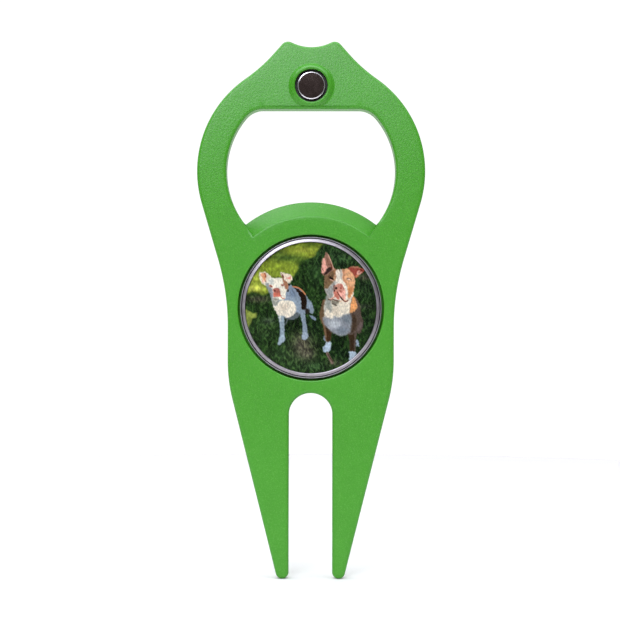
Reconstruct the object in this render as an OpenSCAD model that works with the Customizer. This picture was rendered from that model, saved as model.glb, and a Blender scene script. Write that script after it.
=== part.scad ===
// Golf divot repair tool with a bottle opener in its head, a magnetic ball marker and a cap magnet.
// The tool stands on its prong tips: X is its width, Y its thickness with the front at -Y, Z its height.
// Every piece is drawn lying flat, front up, and then stood up. Flat [x, y] becomes X and Z, and a
// height h above the body's middle plane becomes -Y.

/* [Body] */
// Height of the whole tool, from the prong tips to the crown
tool_h = 95.3; // [94.3:0.5:97.3]
// Thickness of the body
body_t = 5; // [4.8:0.1:6]
// Half of the width across the waist, beside the marker
waist_w = 14.7; // [14.4:0.1:15.6]

/* [Head] */
// Outer radius of the ring head
ring_r = 20.2; // [19.8:0.1:21]
// Inner radius of the ring head, which is the side of the opener window
window_r = 15; // [14:0.1:15.3]
// Height of the centre of the ring head
ring_z = 72.1; // [71.1:0.5:72.6]
// Height of the straight edge at the top of the window
bar_z = 83.1; // [82.5:0.1:83.2]
// Radius of the rounding at the window's top corners
window_corner_r = 4; // [2:0.5:5]
// Radius of the long curve that thins the head towards the crown
head_curve_r = 250; // [240:10:500]
// Half of the distance between the two peaks of the crown
peak_x = 4.15; // [3.95:0.05:4.35]
// Radius of each peak
peak_r = 1.4; // [1.2:0.1:1.5]
// Depth of the notch between the peaks, where a club or a cigar rests
notch_d = 1; // [0.8:0.1:1.2]

/* [Opener lip] */
// Radius of the lip's edge, about the marker's centre
lip_r = 18.85; // [18.2:0.05:19.2]
// Radius where the lip's bevel meets the front face
bevel_r = 16.1; // [15.5:0.1:16.8]
// Thickness that is left at the lip's edge
lip_t = 1.3; // [1:0.1:2]

/* [Fork] */
// Half of the width of the slot between the prongs
slot_w = 3.85; // [3.4:0.05:4]
// Height of the slot's round end
slot_top = 32.8; // [30:0.2:33]
// Thickness of a prong at its tip
tip_t = 2.2; // [1.8:0.1:3]
// Radius of a prong's tip
tip_r = 1.15; // [1:0.05:1.3]

/* [Ball marker] */
// Height of the marker's centre
marker_z = 47.9; // [47.5:0.1:48]
// Diameter of the marker
marker_d = 25; // [24:0.1:25]
// Thickness of the marker's steel coin, with its rim
marker_t = 1.6; // [1.6:0.05:1.7]
// Radial play of the marker in its pocket
marker_play = 0.4; // [0.2:0.05:0.4]
// How far the marker's rim lies below the front face
marker_sink = 0.15; // [0.1:0.05:0.2]
// Diameter of the printed disc
print_d = 23.2; // [22:0.1:23.2]

/* [Magnets] */
// Diameter of the magnet under the marker
marker_magnet_d = 10; // [8:0.5:12]
// Thickness of the magnet under the marker
marker_magnet_t = 1.5; // [1:0.1:1.6]
// Height of the centre of the cap magnet
cap_z = 87.25; // [87:0.05:87.4]
// Diameter of the cap magnet
cap_magnet_d = 5; // [4.6:0.1:5]
// Thickness of the cap magnet
cap_magnet_t = 2; // [1.5:0.1:2.2]
// Outer diameter of the raised collar around the cap magnet
collar_d = 7.9; // [7.8:0.1:8.2]
// How far the collar stands out of the head
collar_h = 0.75; // [0.6:0.05:0.9]

/* [Hidden] */

GREEN = [0.345, 0.655, 0.263];
DARK_NICKEL = [0.21, 0.17, 0.17];
NICKEL = [0.72, 0.7, 0.74];
BLACK_GLUE = [0.05, 0.1, 0.06];
CLEAR_GLUE = [0.85, 0.85, 0.75];
PRINT = [0.24, 0.35, 0.16];
CLEAR = [0.9, 0.95, 1, 0.35];

$fn = 128;
eps = 0.01;
fit_gap = 0.02;                 // radial gap between a glued piece and what holds it
seat_gap = 0.1;                 // gap under the marker
face = body_t / 2;              // height of the flat front face
back = -body_t / 2;             // height of the flat back face
fork_root = slot_top;           // the prongs start to taper here
head_start = 63;                // the head's front curves back from here up
flank_r = 28;                   // concave flank between ring and peak
flank_a = 35.3;                 // where the flank leaves the ring, from straight up
waist_r = 42;                   // concave side between ring and marker
waist_z = 44.5;
shoulder_r = 28;                // convex side between marker and prong
shoulder_z = 38.5;
foot_r = 4;                     // closes the window's outline under the opener lip
foot_z = 54.65;
step_a = 12;                    // longest step along an arc, in degrees
step_l = 1.5;                   // longest step along an arc, in millimetres

notch_r = (peak_x * peak_x + pow(notch_d - peak_r, 2) - peak_r * peak_r) / (2 * notch_d);
corner_y = bar_z - window_corner_r;
corner_x = sqrt(pow(window_r - window_corner_r, 2) - pow(corner_y - ring_z, 2));

pocket_d = marker_t + marker_sink + seat_gap;
pocket_floor = face - pocket_d;
marker_seat = pocket_floor + seat_gap;
marker_magnet_top = pocket_floor - 0.05;
marker_glue_t = 0.1;
marker_glue_wall = 1;           // height of the glue round the magnet
pocket_edge_h = 0.2;            // chamfer of the pocket's edge
pocket_edge_w = 0.25;
marker_bore_r = marker_magnet_d / 2 + 0.15;
marker_bore_floor = marker_magnet_top - marker_magnet_t - marker_glue_t;

coin_r = marker_d / 2;
print_r = print_d / 2;
coin_foot = 0.2;                // chamfer under the coin
coin_edge = 0.07;               // chamfer of its upper edge
rim_t = 0.18;                   // outer ring of the coin's rim
groove_w = 0.14;                // thin groove beside it
groove_d = 0.3;
crown_drop = 0.12;              // fall of the rim's crown from its ridge to the groove
ridge_share = 0.26;             // place of the crown's ridge, from its inner edge to the groove
ridge_sink = 0.02;              // ridge below the outer ring
coin_floor_t = 0.85;            // thickness under the print
adhesive_t = 0.08;
adhesive_inset = 0.1;           // how much smaller the adhesive's radius is than the recess
print_t = 0.15;
dome_edge_t = 0.25;             // clear cover at its edge
dome_rise = 0.22;               // how much higher its middle is

cap_surface = face - head_drop(cap_z);
collar_top = cap_surface + collar_h;
cap_sink = 0.25;                // the cap magnet's face below the collar
cap_glue_t = 0.15;
cap_glue_wall = 1.4;
cap_magnet_top = collar_top - cap_sink;
cap_bore_r = cap_magnet_d / 2 + 0.4;
cap_bore_floor = cap_magnet_top - cap_magnet_t - cap_glue_t;
magnet_chamfer = 0.25;
collar_wall = 0.3;              // flat top of the collar round the bore
collar_slope = [[0, 0.1], [0.2, 0.5], [0.45, 0.85]];    // [inset, share of the height]

// How far the head's front has curved back at height z
function head_drop(z) = head_curve_r - sqrt(pow(head_curve_r, 2) - pow(max(z - head_start, 0), 2));

// The point of a circle at angle a. A negative radius gives the point opposite.
function on_circle(c, r, a) = c + r * [cos(a), sin(a)];

// An arc from angle a through the angle turn, with both ends
function arc(c, r, a, turn) =
    let (n = ceil(max(abs(turn) / step_a, abs(turn * r) * PI / 180 / step_l)))
    [for (i = [0:n]) on_circle(c, r, a + turn * i / n)];

// A round is [centre, radius], and its radius is negative where the outline is concave. Between two
// rounds the outline is their common tangent, and this is the angle of the tangent's outward normal.
function tangent_a(p, q) =
    let (d = q[0] - p[0], k = (p[1] - q[1]) / norm(d))
    atan2(d.y, d.x) + acos(min(1, max(-1, k)));

function turn_between(a, b, r) = r > 0 ? -((a - b + 720) % 360) : (b - a + 720) % 360;

// An outline that runs clockwise over the rounds, from outward normal a_start to a_end
function around(rounds, a_start, a_end) =
    let (last = len(rounds) - 1,
         a = [a_start, for (i = [0:1:last - 1]) tangent_a(rounds[i], rounds[i + 1]), a_end])
    [for (i = [0:last])
        let (r = rounds[i][1])
        each arc(rounds[i][0], r, a[i], turn_between(a[i], a[i + 1], r))];

// A half outline and its mirror image, as one closed outline. Both ends lie on the centre line.
function both_sides(half) =
    concat(half, [for (i = [len(half) - 2:-1:1]) [-half[i].x, half[i].y]]);

body_rounds = [
    [[0, tool_h - notch_d + notch_r], -notch_r],
    [[peak_x, tool_h - peak_r], peak_r],
    [[0, ring_z] + (ring_r + flank_r) * [sin(flank_a), cos(flank_a)], -flank_r],
    [[0, ring_z], ring_r],
    [[waist_w + waist_r, waist_z], -waist_r],
    [[waist_w - shoulder_r, shoulder_z], shoulder_r],
    [[slot_w + tip_r, tip_r], tip_r],
    [[0, slot_top - slot_w], -slot_w]
];

window_rounds = [
    [[corner_x, corner_y], window_corner_r],
    [[0, ring_z], window_r],
    [[0, foot_z], foot_r]
];

// Stands a flat drawing up, front towards -Y
module stand_up() {
    rotate([90, 0, 0]) children();
}

// The body's outline seen from the front, with the slot between the prongs
module body_outline() {
    polygon(both_sides(around(body_rounds, 90, -90)));
}

// The window in the ring head, before the opener lip closes its lower end
module window_outline() {
    polygon(both_sides(around(window_rounds, 90, -90)));
}

// The body seen from its side: flat back, curved head front, prongs that thin from the back
module side_profile() {
    over = 1;
    slope = (face - tip_t - back) / fork_root;
    head_a = asin((tool_h + over - head_start) / head_curve_r);
    polygon(concat(
        [[-over, face], [-over, face - tip_t + over * slope], [fork_root, back], [tool_h + over, back]],
        arc([head_start, face - head_curve_r], head_curve_r, 90 - head_a, head_a)));
}

// The body's blank, its outline cut to the side profile
module body_blank() {
    intersection() {
        translate([0, 0, back]) linear_extrude(body_t) body_outline();
        rotate([90, 0, 90])
            translate([0, 0, -ring_r - 1]) linear_extrude(2 * ring_r + 2) side_profile();
    }
}

// The window's cut, which leaves the opener lip with its bevelled front
module window_cut() {
    difference() {
        translate([0, 0, back - 1]) linear_extrude(body_t + 2) window_outline();
        translate([0, marker_z, 0]) rotate_extrude() polygon([
            [0, back - 2], [lip_r, back - 2], [lip_r, back + lip_t], [bevel_r, face], [bevel_r, face + 2],
            [0, face + 2]]);
    }
}

// The raised collar around the cap magnet, with a rounded top
module collar() {
    outer = collar_d / 2;
    translate([0, cap_z, 0]) rotate_extrude() polygon([
        [0, cap_surface - 1], [outer, cap_surface - 1],
        for (s = collar_slope) [outer - s[0], cap_surface + collar_h * s[1]],
        [cap_bore_r + collar_wall, collar_top], [0, collar_top]]);
}

// The one-piece body: crown, ring head, opener window, marker pocket and prongs
module tool_body() {
    pocket_r = coin_r + marker_play;
    color(GREEN) stand_up() difference() {
        union() {
            body_blank();
            collar();
        }
        window_cut();
        translate([0, marker_z, pocket_floor]) cylinder(r = pocket_r, h = pocket_d + 1);
        translate([0, marker_z, face - pocket_edge_h])
            cylinder(r1 = pocket_r, r2 = pocket_r + pocket_edge_w, h = pocket_edge_h + eps);
        translate([0, marker_z, marker_bore_floor]) cylinder(r = marker_bore_r, h = body_t);
        translate([0, cap_z, cap_bore_floor]) cylinder(r = cap_bore_r, h = body_t);
    }
}

// A disc magnet with a small chamfer round its front face
module magnet(d, t, top) {
    r = d / 2;
    rotate_extrude() polygon([
        [0, top - t], [r, top - t], [r, top - magnet_chamfer], [r - magnet_chamfer, top], [0, top]]);
}

// A cup of glue that holds a magnet in its bore
module glue_cup(magnet_r, bore_r, floor_h, floor_t, wall_t) {
    outer = bore_r - fit_gap;
    inner = magnet_r + fit_gap;
    rotate_extrude() polygon([
        [0, floor_h], [outer, floor_h], [outer, floor_h + wall_t], [inner, floor_h + wall_t],
        [inner, floor_h + floor_t], [0, floor_h + floor_t]]);
}

// The small magnet in the crown that holds the tool on a cap's clip, or a spare marker
module cap_magnet() {
    color(DARK_NICKEL) stand_up()
        translate([0, cap_z, 0]) magnet(cap_magnet_d, cap_magnet_t, cap_magnet_top);
}

module cap_magnet_glue() {
    color(BLACK_GLUE) stand_up() translate([0, cap_z, 0])
        glue_cup(cap_magnet_d / 2, cap_bore_r, cap_bore_floor, cap_glue_t, cap_glue_wall);
}

// The magnet under the marker, just below the floor of its pocket
module marker_magnet() {
    color(NICKEL) stand_up()
        translate([0, marker_z, 0]) magnet(marker_magnet_d, marker_magnet_t, marker_magnet_top);
}

module marker_magnet_glue() {
    color(CLEAR_GLUE) stand_up() translate([0, marker_z, 0])
        glue_cup(marker_magnet_d / 2, marker_bore_r, marker_bore_floor, marker_glue_t, marker_glue_wall);
}

// The marker's plated steel coin: outer ring, thin groove, low crown and the recess for the print
module marker_base() {
    rim_in = coin_r - rim_t;
    crown_out = rim_in - groove_w;
    ridge_r = print_r + (crown_out - print_r) * ridge_share;
    ridge = marker_t - ridge_sink;
    color(NICKEL) stand_up() translate([0, marker_z, marker_seat]) rotate_extrude() polygon([
        [0, 0], [coin_r - coin_foot, 0], [coin_r, coin_foot],
        [coin_r, marker_t - coin_edge], [coin_r - coin_edge, marker_t], [rim_in, marker_t],
        [rim_in, marker_t - groove_d], [crown_out, marker_t - groove_d],
        [crown_out, ridge - crown_drop], [ridge_r, ridge], [print_r, ridge - crown_drop],
        [print_r, coin_floor_t], [0, coin_floor_t]]);
}

module print_adhesive() {
    color(CLEAR_GLUE) stand_up() translate([0, marker_z, marker_seat + coin_floor_t])
        cylinder(r = print_r - adhesive_inset, h = adhesive_t);
}

// The printed disc that carries the picture
module print_disc() {
    color(PRINT) stand_up() translate([0, marker_z, marker_seat + coin_floor_t + adhesive_t])
        cylinder(r = print_r - fit_gap, h = print_t);
}

// The clear cover over the print, slightly domed
module clear_dome() {
    r = print_r - fit_gap;
    dome_r = (r * r + dome_rise * dome_rise) / (2 * dome_rise);
    dome_a = asin(r / dome_r);
    steps = 8;
    color(CLEAR) stand_up()
        translate([0, marker_z, marker_seat + coin_floor_t + adhesive_t + print_t]) rotate_extrude()
            polygon(concat([[0, 0], [r, 0]], [for (i = [0:steps])
                [0, dome_edge_t + dome_rise - dome_r]
                    + dome_r * [sin(dome_a * (1 - i / steps)), cos(dome_a * (1 - i / steps))]]));
}

tool_body();
cap_magnet();
cap_magnet_glue();
marker_magnet();
marker_magnet_glue();
marker_base();
print_adhesive();
print_disc();
clear_dome();
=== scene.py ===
"""Golf divot repair tool: detailed pieces, materials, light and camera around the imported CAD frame.

Plan coordinates are millimetres in the front view: x to the right and z up. A height h is the distance
from the body's middle plane towards the front, so a point is (x, -h, z) in the frame.
"""

import math

import bmesh
import bpy
import numpy as np
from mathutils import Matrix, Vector
from mathutils.geometry import delaunay_2d_cdt


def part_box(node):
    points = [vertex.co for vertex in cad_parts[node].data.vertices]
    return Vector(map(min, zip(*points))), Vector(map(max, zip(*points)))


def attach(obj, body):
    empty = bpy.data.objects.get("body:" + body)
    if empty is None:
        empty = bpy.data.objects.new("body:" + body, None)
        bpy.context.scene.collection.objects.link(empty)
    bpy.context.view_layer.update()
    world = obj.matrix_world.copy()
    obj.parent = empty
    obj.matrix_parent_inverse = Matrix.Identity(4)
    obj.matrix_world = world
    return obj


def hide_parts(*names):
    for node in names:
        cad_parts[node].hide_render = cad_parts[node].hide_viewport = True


MM = 0.001

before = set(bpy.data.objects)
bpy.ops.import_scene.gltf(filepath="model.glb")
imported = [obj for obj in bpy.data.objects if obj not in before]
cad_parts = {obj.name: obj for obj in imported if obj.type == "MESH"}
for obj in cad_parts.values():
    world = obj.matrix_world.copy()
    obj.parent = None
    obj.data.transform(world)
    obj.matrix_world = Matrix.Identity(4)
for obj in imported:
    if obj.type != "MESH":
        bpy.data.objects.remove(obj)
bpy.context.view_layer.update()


# ---------------------------------------------------------------- sizes taken from the frame
def node_box(node):
    """Lowest and highest x, z and height of a CAD node, in mm."""
    low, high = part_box(node)
    spans = {"x": (low.x, high.x), "z": (low.z, high.z), "h": (-high.y, -low.y)}
    return {axis: (start / MM, end / MM) for axis, (start, end) in spans.items()}


def middle(span):
    return (span[0] + span[1]) / 2


def size(span):
    return span[1] - span[0]


BODY = node_box("tool_body")
COIN = node_box("marker_base")
PRINT = node_box("print_disc")
COVER = node_box("clear_dome")
MARKER_MAGNET = node_box("marker_magnet")
CAP_MAGNET = node_box("cap_magnet")
CAP_GLUE = node_box("cap_magnet_glue")

TOOL_H = BODY["z"][1]
FACE_H = BODY["h"][1]
BACK_H = BODY["h"][0]
RING_R = BODY["x"][1]
MARKER_Z = middle(COIN["z"])
CAP_Z = middle(CAP_MAGNET["z"])
COIN_R = size(COIN["x"]) / 2
PRINT_R = size(PRINT["x"]) / 2
CAP_MAGNET_R = size(CAP_MAGNET["x"]) / 2
MARKER_MAGNET_R = size(MARKER_MAGNET["x"]) / 2
GLUE_GAP = 0.02
CAP_BORE_R = size(CAP_GLUE["x"]) / 2 + GLUE_GAP
MAGNET_GLUE_W = 0.15
MARKER_BORE_R = MARKER_MAGNET_R + MAGNET_GLUE_W

# ---------------------------------------------------------------- the body's design sizes, in mm
# Ring head, its window, and the face that curves back above HEAD_START.
RING_Z = 72.1
WINDOW_R = 15.0
BAR_Z = 83.1
WINDOW_CORNER_R = 4.0
LIP_CORNER_R = 0.25
HEAD_START = 63.0
HEAD_CURVE_R = 250.0

# Crown: two peaks, the notch between them and the flanks down to the ring.
PEAK_X = 4.15
PEAK_R = 1.4
NOTCH_D = 1.0
FLANK_R = 28.0
FLANK_A = math.radians(35.3)

# Waist, shoulders and fork. The prongs thin to TIP_T at their tips.
WAIST_W = 14.7
WAIST_R = 42.0
WAIST_Z = 44.5
SHOULDER_R = 28.0
SHOULDER_Z = 38.5
SLOT_W = 3.85
FORK_ROOT = 32.8
TIP_R = 1.15
TIP_T = 2.2
TAPER_BLEND = 2.0

# Opener lip: an arch about the marker with a bevel from BEVEL_R out to LIP_R.
LIP_R = 18.85
BEVEL_R = 16.1
BEVEL_A = math.radians(39.5)
LIP_T = 1.3
CREASE_R = 0.35

# Marker pocket and bores.
POCKET_PLAY = 0.4
POCKET_R = COIN_R + POCKET_PLAY
MARKER_GAP = 0.1
POCKET_FLOOR_H = COIN["h"][0] - MARKER_GAP
POCKET_EDGE_R = 0.22
POCKET_FOOT = 0.12
BORE_CHAMFER = 0.1
BORE_SPARE = 0.1
CAP_BORE_EDGE_R = 0.3

# Collar round the cap magnet.
COLLAR_R = 3.95
COLLAR_RISE = 0.75
COLLAR_FOOT = 0.25
COLLAR_FOOT_W = 0.3
COLLAR_FOOT_SHARE = 0.12
COLLAR_CREST_W = 0.2
COLLAR_BULGE = 1.7

# Edge radii, and the length over which they change.
EDGE_R = 0.6
WINDOW_EDGE_R = EDGE_R * 0.9
BACK_EDGE_R = 0.45
LIP_EDGE_R = 0.12
LIP_BACK_EDGE_R = 0.2
LIP_BLEND = 1.2

# Mesh density: spacings in mm, numbers of points on a round, and gaps kept clear of an edge.
OUTER_STEP = 0.9
WINDOW_STEP = 0.45
ARC_STEP = math.radians(7)
FRONT_STEP = 1.1
BACK_STEP = 1.3
GRID_X = 21
EDGE_CLEAR = 0.5
BACK_EDGE_CLEAR = 0.6
COLLAR_CLEAR = 0.08
LIP_POINTS = 61
BEVEL_ROWS = (0.02, 0.038, 0.07, 0.28, 0.52, 0.76)
CREASE_ROWS = (0.085, 0.18)
BEVEL_SIDE_GAP = 0.012
LIP_FACING = 0.35
COLLAR_STEP = 0.07
COLLAR_POINTS = 120
POCKET_POINTS = 192
CAP_BORE_POINTS = 96
MOUTH_STEPS = 5
TINY = 1e-6


# ---------------------------------------------------------------- plan outlines
def tangent_angle(p, q):
    """Angle of the outward normal of the tangent from round p to round q. A round is (x, z, radius)."""
    dx, dz = q[0] - p[0], q[1] - p[1]
    share = max(-1.0, min(1.0, (p[2] - q[2]) / math.hypot(dx, dz)))
    return math.atan2(dz, dx) + math.acos(share)


def turn_between(a, b, radius):
    """The turn from angle a to b, clockwise on a bulge and the other way in a hollow."""
    full = 2 * math.pi
    return -((a - b) % full) if radius > 0 else (b - a) % full


def touching(p, reach_p, q, reach_q):
    """The point at distance reach_p from p and reach_q from q that lies to the right."""
    dx, dz = q[0] - p[0], q[1] - p[1]
    d = math.hypot(dx, dz)
    along = (reach_p ** 2 - reach_q ** 2 + d * d) / (2 * d)
    off = math.sqrt(reach_p ** 2 - along ** 2)
    ux, uz = dx / d, dz / d
    found = [(p[0] + ux * along - s * uz * off, p[1] + uz * along + s * ux * off) for s in (1, -1)]
    return max(found)


def half_outline(rounds, step):
    """Points and outward normals that run clockwise over the rounds, from top centre to bottom centre."""
    angles = [math.pi / 2] + [tangent_angle(p, q) for p, q in zip(rounds, rounds[1:])] + [-math.pi / 2]
    points, normals = [], []
    for i, (cx, cz, radius) in enumerate(rounds):
        turn = turn_between(angles[i], angles[i + 1], radius)
        n = max(2, math.ceil(max(abs(turn) / ARC_STEP, abs(turn * radius) / step)))
        for k in range(n + 1):
            a = angles[i] + turn * k / n
            normal = (math.cos(a), math.sin(a))
            point = (cx + radius * normal[0], cz + radius * normal[1])
            if k == 0 and points:
                x, z = points[-1]
                straight = math.dist((x, z), point)
                if straight < TINY:
                    continue
                pieces = math.ceil(straight / step)
                for j in range(1, pieces):
                    t = j / pieces
                    points.append((x + (point[0] - x) * t, z + (point[1] - z) * t))
                    normals.append(normal)
            points.append(point)
            normals.append(normal)
    return points, normals


def closed_outline(rounds, step):
    """A whole outline from its right half: (points, normals) as arrays."""
    points, normals = half_outline(rounds, step)
    mirrored = [(-x, z) for x, z in points[-2:0:-1]]
    mirrored_normals = [(-x, z) for x, z in normals[-2:0:-1]]
    return np.array(points + mirrored), np.array(normals + mirrored_normals)


def circle_points(z, radius, n):
    a = np.linspace(0, 2 * np.pi, n, endpoint=False)
    return np.stack([radius * np.cos(a), z + radius * np.sin(a)], axis=1)


def body_rounds():
    """The body's outline: notch, peak, flank, ring, waist, shoulder, tip and the fork's root."""
    notch_r = (PEAK_X ** 2 + NOTCH_D ** 2) / (2 * NOTCH_D) - PEAK_R
    reach = RING_R + FLANK_R
    return [
        (0, TOOL_H - NOTCH_D + notch_r, -notch_r),
        (PEAK_X, TOOL_H - PEAK_R, PEAK_R),
        (reach * math.sin(FLANK_A), RING_Z + reach * math.cos(FLANK_A), -FLANK_R),
        (0, RING_Z, RING_R),
        (WAIST_W + WAIST_R, WAIST_Z, -WAIST_R),
        (WAIST_W - SHOULDER_R, SHOULDER_Z, SHOULDER_R),
        (SLOT_W + TIP_R, TIP_R, TIP_R),
        (0, FORK_ROOT - SLOT_W, -SLOT_W),
    ]


def window_rounds():
    """The window, its lower side the lip's arch."""
    corner_z = BAR_Z - WINDOW_CORNER_R
    corner_x = math.sqrt((WINDOW_R - WINDOW_CORNER_R) ** 2 - (corner_z - RING_Z) ** 2)
    low = touching((0, RING_Z), WINDOW_R - LIP_CORNER_R, (0, MARKER_Z), LIP_R + LIP_CORNER_R)
    return [
        (corner_x, corner_z, WINDOW_CORNER_R),
        (0, RING_Z, WINDOW_R),
        (low[0], low[1], LIP_CORNER_R),
        (0, MARKER_Z, -LIP_R),
    ]


# ---------------------------------------------------------------- the body's surfaces as heights
def front_height(z):
    rise = np.maximum(z - HEAD_START, 0)
    return FACE_H - (HEAD_CURVE_R - np.sqrt(HEAD_CURVE_R ** 2 - rise ** 2))


def back_height(z):
    """Flat, and below the fork's root a taper that starts softly."""
    slope = (FACE_H - TIP_T - BACK_H) / FORK_ROOT
    below = FORK_ROOT - z
    return BACK_H + slope * (np.sqrt(below ** 2 + TAPER_BLEND ** 2) + below) / 2


def lip_height(points):
    """The opener lip's bevel, a cone about the marker's centre that meets the face in a small round."""
    out = np.hypot(points[:, 0], points[:, 1] - MARKER_Z) - BEVEL_R
    lean = math.atan2(FACE_H - BACK_H - LIP_T, LIP_R - BEVEL_R)
    past = np.maximum(out + CREASE_R * math.tan(lean / 2), 0)
    top = FACE_H - CREASE_R + np.sqrt(np.maximum(CREASE_R ** 2 - past ** 2, 0))
    return np.where(past < CREASE_R * math.sin(lean), top, FACE_H - math.tan(lean) * out)


def collar_share(points):
    """0 on the head and 1 on the collar's crest: a convex slope on a small foot."""
    reach = np.hypot(points[:, 0], points[:, 1] - CAP_Z)
    foot = np.clip((COLLAR_R + COLLAR_FOOT - reach) / COLLAR_FOOT_W, 0, 1)
    side = np.clip((COLLAR_R - reach) / (COLLAR_R - CAP_BORE_R - COLLAR_CREST_W), 0, 1)
    slope = 1 - (1 - side) ** COLLAR_BULGE
    return COLLAR_FOOT_SHARE * foot ** 2 + (1 - COLLAR_FOOT_SHARE) * slope


CREST_H = front_height(CAP_Z) + COLLAR_RISE


def surface_height(points):
    """Front surface with the collar's bump, away from the lip."""
    share = collar_share(points)
    return front_height(points[:, 1]) * (1 - share) + CREST_H * share


# ---------------------------------------------------------------- mesh building
class MeshParts:
    """Collects a mesh: vertices from plan points with heights, and faces."""

    def __init__(self):
        self.verts = []
        self.faces = []

    def add(self, points, heights):
        """Adds vertices and returns their indices."""
        start = len(self.verts)
        heights = np.broadcast_to(heights, (len(points),))
        self.verts += [(x * MM, -h * MM, z * MM) for (x, z), h in zip(points, heights)]
        return list(range(start, start + len(points)))

    def bridge(self, a, b):
        """A band of faces between two rings."""
        n = len(a)
        self.faces += [(a[i], a[(i + 1) % n], b[(i + 1) % n], b[i]) for i in range(n)]

    def fan(self, ring, centre):
        """Triangles from a ring to one vertex."""
        n = len(ring)
        self.faces += [(ring[i], ring[(i + 1) % n], centre) for i in range(n)]

    def cap(self, ring, z, height):
        """Closes a ring about x = 0 with a new centre point."""
        self.fan(ring, self.add(np.array([(0.0, z)]), height)[0])

    def plan(self, ids):
        """Plan points of some vertices."""
        return np.array([(self.verts[i][0] / MM, self.verts[i][2] / MM) for i in ids])

    def fill(self, loops, chains, loose, holes):
        """Triangulates the plan region inside loops[0]. loops are closed index lists, chains open ones,
        loose single indices, and holes the loops whose inside stays open."""
        used = sorted({i for part in loops + chains for i in part} | set(loose))
        local = {v: k for k, v in enumerate(used)}
        plan = [Vector(point) for point in self.plan(used)]
        walls = {frozenset(pair) for loop in loops for pair in zip(loop, loop[1:] + loop[:1])}
        edges = [tuple(local[i] for i in wall) for wall in walls]
        for chain in chains:
            edges += [(local[a], local[b]) for a, b in zip(chain, chain[1:])]
        out = delaunay_2d_cdt(plan, edges, [], 0, TINY)
        tris = [tuple(used[out[3][i][0]] for i in face) for face in out[2]]
        centres = np.array([[sum(self.verts[i][k] for i in tri) / 3 / MM for k in (0, 2)] for tri in tris])
        wanted = inside(centres, self.plan(loops[0]))
        for hole in holes:
            wanted &= ~inside(centres, self.plan(hole))
        start = max(np.flatnonzero(wanted), key=lambda t: self.plan_area(tris[t]))
        self.faces += [tris[t] for t in reachable(tris, walls, start)]

    def plan_area(self, tri):
        (ax, _, az), (bx, _, bz), (cx, _, cz) = (self.verts[i] for i in tri)
        return abs((bx - ax) * (cz - az) - (cx - ax) * (bz - az))

    def mesh(self, name, weighted=True, sharp=math.radians(35)):
        """A shaded object with outward normals."""
        data = bpy.data.meshes.new(name)
        data.from_pydata(self.verts, [], self.faces)
        data.validate()
        obj = link(name, data)
        make_normals_outward(obj)
        data.shade_smooth()
        data.set_sharp_from_angle(angle=sharp)
        if weighted:
            smooth = obj.modifiers.new("even shading", "WEIGHTED_NORMAL")
            smooth.mode = "FACE_AREA_WITH_ANGLE"
            smooth.keep_sharp = True
        return obj


def reachable(tris, walls, start):
    """The triangles joined to the start without crossing a wall edge."""
    sides = [[frozenset((t[0], t[1])), frozenset((t[1], t[2])), frozenset((t[2], t[0]))] for t in tris]
    owners = {}
    for t, edges in enumerate(sides):
        for edge in edges:
            owners.setdefault(edge, []).append(t)
    found, queue = {start}, [start]
    while queue:
        for edge in sides[queue.pop()]:
            if edge not in walls:
                new = [t for t in owners[edge] if t not in found]
                found.update(new)
                queue += new
    return found


def make_normals_outward(obj):
    bm = bmesh.new()
    bm.from_mesh(obj.data)
    bmesh.ops.recalc_face_normals(bm, faces=bm.faces)
    if bm.calc_volume(signed=True) < 0:
        bmesh.ops.reverse_faces(bm, faces=bm.faces)
    bm.to_mesh(obj.data)
    bm.free()


def inside(points, shape):
    """Which points lie inside the closed shape."""
    x, z = points[:, 0], points[:, 1]
    hit = np.zeros(len(points), bool)
    for (x1, z1), (x2, z2) in zip(shape, np.roll(shape, -1, axis=0)):
        crosses = (z1 > z) != (z2 > z)
        if not crosses.any():
            continue
        at = (x2 - x1) * (z[crosses] - z1) / (z2 - z1) + x1
        hit[crosses] ^= x[crosses] < at
    return hit


def far_from(points, others, gap):
    """Which points are more than gap away from all the others."""
    d2 = ((points[:, None, :] - others[None, :, :]) ** 2).sum(axis=2)
    return d2.min(axis=1) > gap * gap


def grid_points(low, high, step):
    """A staggered grid of plan points."""
    rows = []
    for k, z in enumerate(np.arange(low[1], high[1], step * math.sqrt(3) / 2)):
        x = np.arange(low[0] + (k % 2) * step / 2, high[0], step)
        rows.append(np.stack([x, np.full_like(x, z)], axis=1))
    return np.concatenate(rows)


def rounded_edge(parts, points, normals, radius, surface, side, steps=6):
    """Loops that round an edge, from the wall to the face. radius may differ from point to point, side is
    1 where material lies against the normals, and surface gives heights and which way is in."""
    loops = []
    for k in range(steps + 1):
        a = math.pi / 2 * k / steps
        shift = (radius * (1 - math.cos(a)))[:, None]
        moved = points - side * shift * normals
        loops.append(parts.add(moved, surface(moved, radius * (1 - math.sin(a)))))
    for a, b in zip(loops, loops[1:]):
        parts.bridge(a, b)
    return loops


def lathe(name, profile, z, segments=192, sharp=math.radians(32)):
    """A turned piece about an axis along Y at height z. profile is (radius, height) from axis to axis."""
    parts = MeshParts()
    rings = []
    for r, h in profile:
        if r < TINY:
            rings.append(parts.add(np.array([(0.0, z)]), h))
        else:
            rings.append(parts.add(circle_points(z, r, segments), h))
    for a, b in zip(rings, rings[1:]):
        if len(a) == 1:
            parts.fan(b, a[0])
        elif len(b) == 1:
            parts.fan(a, b[0])
        else:
            parts.bridge(a, b)
    return parts.mesh(name, sharp=sharp)


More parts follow.
